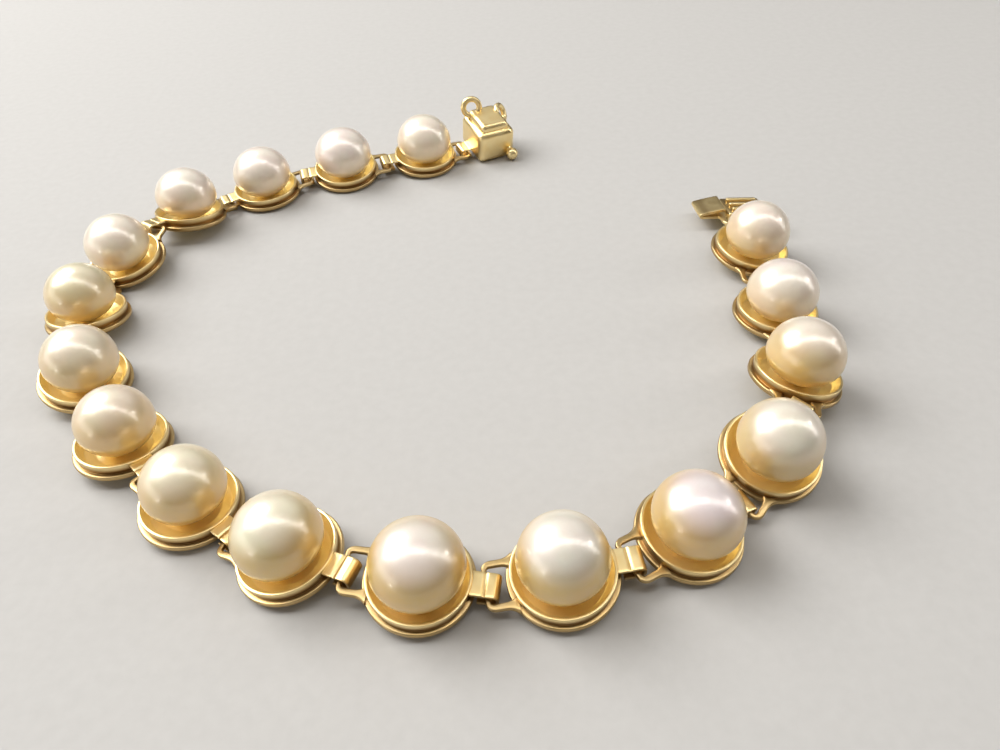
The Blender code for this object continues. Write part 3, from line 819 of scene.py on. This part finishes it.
def boxPlace():
    # the box points along its heading, its fold round link 01's crossbar
    heading = math.radians(box["heading"])
    ahead = Vector((math.cos(heading), math.sin(heading), 0))
    bar = places["01"] @ Vector((loop["barX"], 0, barHeight))
    reach = box["length"] / 2 - cup["flange"] + fold["barX"]
    return placeBetween(bar - ahead * reach, bar, box["lean"], barHeight)


def tonguePlace():
    # the tongue goes on from link 17, turned and dipped a little
    bar = places["17"] @ Vector((fold["barX"], 0, barHeight))
    along = places["17"].col[0].to_3d()
    heading = math.atan2(along.y, along.x) + math.radians(tongue["turn"])
    dip = math.tan(math.radians(tongue["dip"]))
    ahead = Vector((math.cos(heading), math.sin(heading), -dip))
    return placeBetween(bar, bar + ahead, tongue["lean"], barHeight)


def ballCentre():
    b = box
    x = -b["length"] / 2 + b["ball"]
    return Vector((x, b["width"] / 2 + b["stem"] + b["ball"] / 2, b["ballHeight"]))


def drawBall(bm):
    b = box
    bmesh.ops.create_uvsphere(bm, u_segments=b["ballSides"], v_segments=b["ballRings"], radius=b["ball"])
    bmesh.ops.translate(bm, vec=ballCentre(), verts=bm.verts)


def drawStem(bm):
    b = box
    end = ballCentre()
    start = Vector((end.x, b["width"] / 2 - b["stemRoot"], b["stemHeight"]))
    run = end - start
    bmesh.ops.create_cone(
        bm, cap_ends=True, segments=b["stemSides"], depth=run.length,
        radius1=b["stem"] * b["stemFoot"], radius2=b["stem"] * b["stemTip"],
    )
    turn = run.to_track_quat("Z", "Y").to_matrix().to_4x4()
    bmesh.ops.transform(bm, matrix=Matrix.Translation(start + run / 2) @ turn, verts=bm.verts)


def boxPaintedShade(point):
    # painted shade: the slot darkens towards its bottom
    b = box
    edge = 0.01
    deep = point.x + b["length"] / 2
    inSlot = b["slotLow"] - edge < point.z < b["slotHigh"] + edge and abs(point.y) < b["slotHalf"] + edge
    if not inSlot or deep > b["slotDepth"] + 0.1:
        return 0.0
    return b["slotDark"] * fade(deep, *b["slotFade"])


def makeBox():
    b = box
    halfLength = b["length"] / 2
    halfWidth = b["width"] / 2
    margin = b["crownMargin"]
    top = b["height"] + b["crownHeight"]

    def drawBody(bm):
        high = (halfLength, halfWidth, b["height"])
        roundedBlock(bm, (-halfLength, -halfWidth, 0), high, b["rounding"], 6)

    def drawCrown(bm):
        low = (margin - halfLength, margin - halfWidth, b["height"] - b["rounding"])
        high = (halfLength - margin, halfWidth - margin, top)
        roundedBlock(bm, low, high, b["crownRounding"] * b["crownHeight"], 6)

    def drawLug(bm):
        centre = (halfLength - b["ring"], b["ring"] - halfWidth, top + b["lugLift"] * b["ring"])
        wireRing(bm, centre, b["lugAxis"], b["ring"], b["wire"])

    def drawCatch(bm):
        inset = b["catchInset"]
        centre = (inset * b["ring"] - halfLength, -inset * halfWidth, b["height"])
        wireRing(bm, centre, b["catchAxis"], b["ring"], b["wire"])

    def drawSlot(bm):
        low = (-halfLength - b["slotDepth"], -b["slotHalf"], b["slotLow"])
        high = (b["slotDepth"] - halfLength, b["slotHalf"], b["slotHigh"])
        roundedBlock(bm, low, high, b["slotRounding"], 3)

    strip = solid(lambda bm: drawFold(bm, b["stripRoot"]))
    strip.transform(Matrix.Translation((halfLength - cup["flange"], 0, 0)))
    metal = [solid(drawBody), solid(drawCrown), strip]
    metal += [solid(draw) for draw in (drawLug, drawCatch, drawStem, drawBall)]
    mesh = joined(metal + [solid(drawSlot)], ["UNION"] * (len(metal) - 1) + ["DIFFERENCE"])
    paint(mesh, "shadeAmount", boxPaintedShade)
    addPiece("clasp_box", mesh, toMetres @ boxPlace(), gold)


def drawSpring(bm):
    # one strip, folded at its tip, its lower leaf soldered to the plate
    t = tongue
    leaf = t["leaf"]
    root = t["left"] - t["springRoot"]
    bend = t["left"] + t["spring"] - leaf
    end = t["left"] + t["endShare"] * t["spring"]
    middleX = t["start"] + t["width"] / 2
    low = t["low"] + leaf
    stations = []

    def addStation(y, z, along, upright):
        stations.append(station((middleX, y, low + z), along, upright, t["springWidth"], leaf))

    for step in range(t["lowSteps"] + 1):  # the lower leaf
        y = root + (bend - root) * step / t["lowSteps"]
        addStation(y, leaf / 2, (0, 1, 0), (0, 0, 1))
    for step in range(1, t["bendSteps"]):  # the bend
        angle = math.radians(-90 + 180 * step / t["bendSteps"])
        ahead = (0, -math.sin(angle), math.cos(angle))
        outward = (0, -math.cos(angle), -math.sin(angle))
        addStation(bend + leaf / 2 * math.cos(angle), leaf + leaf / 2 * math.sin(angle), ahead, outward)
    for step in range(t["highSteps"] + 1):  # the upper leaf, rising on its way back to the plate
        share = step / t["highSteps"]
        z = leaf * 1.5 + (t["rise"] - 2 * leaf) * share ** t["riseCurve"]
        addStation(bend + (end - bend) * share, z, (0, -1, t["slope"]), (0, -t["slope"], -1))
    addStation(end - t["endFlat"], t["rise"] - leaf / 2, (0, -1, 0), (0, 0, -1))
    sweep(bm, unitSection(t["leafRounding"]), stations)


def tonguePaintedShade(point):
    # painted shade: the plate is darker between its ridges
    t = tongue
    inset = t["darkInset"]
    if not t["start"] + inset < point.x < t["start"] + t["width"] - inset:
        return 0.0
    return t["ridgeDark"] * fade(point.z, *t["darkLow"]) * (1 - fade(point.z, *t["darkHigh"]))


def makeTongue():
    t = tongue

    def drawPlate(bm):
        high = (t["start"] + t["width"], t["left"], t["high"])
        roundedBlock(bm, (t["start"], t["right"], t["low"]), high, t["rounding"], 4)

    def drawRidge(bm, x):
        low = (x - t["ridgeWidth"] / 2, t["right"] + t["ridgeWidth"], t["high"] - t["ridgeHeight"])
        high = (x + t["ridgeWidth"] / 2, t["left"] - t["ridgeWidth"], t["high"] + t["ridgeHeight"])
        roundedBlock(bm, low, high, t["ridgeRounding"], 4)

    def drawEye(bm, index):
        y = t["right"] + index * t["eyeGap"] * t["eye"]
        centre = (t["start"] - t["eyeInset"] * t["eye"], y, barHeight + t["eyeLift"] * t["eye"])
        wireRing(bm, centre, t["eyeAxes"][index], t["eye"], t["eyeWire"], 36, 12)

    parts = [solid(drawPlate)]
    gap = (t["width"] - t["ridgeWidth"]) / t["ridges"]
    for index in range(t["ridges"]):
        x = t["start"] + t["width"] / 2 + gap * (index - (t["ridges"] - 1) / 2)
        parts.append(solid(lambda bm: drawRidge(bm, x)))
    stirrup = solid(drawLoop)
    stirrup.transform(Matrix.Translation((-loop["barX"], 0, 0)))
    parts.append(stirrup)
    parts.append(solid(drawSpring))
    for index in range(len(t["eyeAxes"])):
        parts.append(solid(lambda bm: drawEye(bm, index)))
    mesh = joined(parts)
    paint(mesh, "shadeAmount", tonguePaintedShade)
    addPiece("clasp_tongue", mesh, toMetres @ tonguePlace(), gold)


makeBox()
makeTongue()
print("clasp made")


# The studio

def makeFloor():
    bm = bmesh.new()
    bmesh.ops.create_grid(bm, x_segments=4, y_segments=4, size=studio["floorSize"])
    mesh = bpy.data.meshes.new("floor")
    bm.to_mesh(mesh)
    bm.free()
    mesh.materials.append(makeFloorFinish())
    floor = bpy.data.objects.new("floor", mesh)
    bpy.context.scene.collection.objects.link(floor)


makeFloor()
makeCamera()
makeLights()
makeWorld()
bpy.context.scene.view_settings.view_transform = "Standard"
print("studio set")
